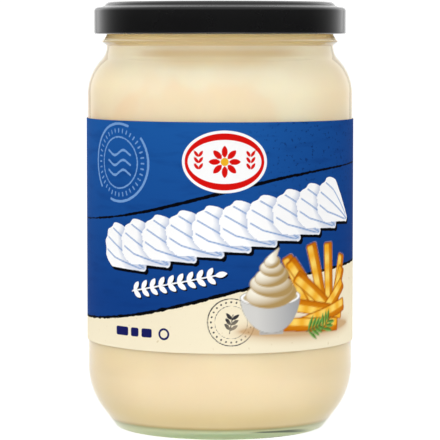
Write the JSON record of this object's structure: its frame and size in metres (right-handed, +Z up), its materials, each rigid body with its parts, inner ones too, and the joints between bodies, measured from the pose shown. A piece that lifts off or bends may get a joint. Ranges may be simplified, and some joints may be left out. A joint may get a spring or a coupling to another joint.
{
  "type": "jar of mayonnaise",
  "caption": "Round glass food jar with a black twist-off metal lid and a wrap-round paper label, filled with mayonnaise up into the neck.",
  "frame": {"origin": "centre of the ring that the jar stands on, at the ground", "axes": "+Z up along the jar's axis, -Y towards the front of the label, +X to the right seen from the front"},
  "size_m": [0.0896, 0.0896, 0.1423],
  "materials": {
    "clear_glass": "clear, very slightly green flint glass",
    "mayonnaise": "smooth pale cream sauce",
    "printed_paper": null,
    "black_lacquered_steel": "smooth satin-gloss black lacquer"
  },
  "bodies": {
    "root": {"glass_jar": "clear_glass", "mayonnaise": "mayonnaise", "label": "printed_paper", "lid": "black_lacquered_steel"}
  },
  "joints": []
}
